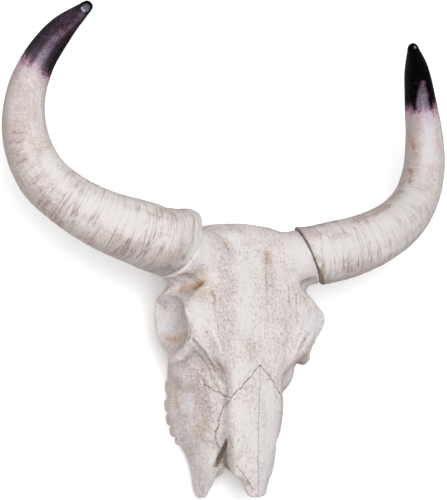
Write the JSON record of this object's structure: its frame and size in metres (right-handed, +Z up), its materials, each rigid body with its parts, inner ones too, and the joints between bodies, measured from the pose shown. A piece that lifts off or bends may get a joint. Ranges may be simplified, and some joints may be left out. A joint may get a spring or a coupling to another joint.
{
  "type": "cow skull",
  "caption": "Life-size cow skull without its jaw, with long curved horns, lying face up as it rests on its cheek teeth and the back of its base.",
  "frame": {"origin": "middle of the floor area under the bounding box, at floor level", "axes": "+X to the animal's left across the horns, +Y from the nose to the poll and horn tips, +Z up out of the face"},
  "size_m": [0.6214, 0.5632, 0.2487],
  "materials": {
    "bone": "weathered off-white bone, matt",
    "horn": "pale weathered horn with dark tips, satin"
  },
  "bodies": {
    "root": {"frontal": "bone", "occiput": "bone", "maxilla_left": "bone", "maxilla_right": "bone", "nasal_left": "bone", "nasal_right": "bone", "premaxilla_left": "bone", "premaxilla_right": "bone", "zygomatic_left": "bone", "zygomatic_right": "bone", "horn_left": "horn", "horn_right": "horn"}
  },
  "joints": []
}
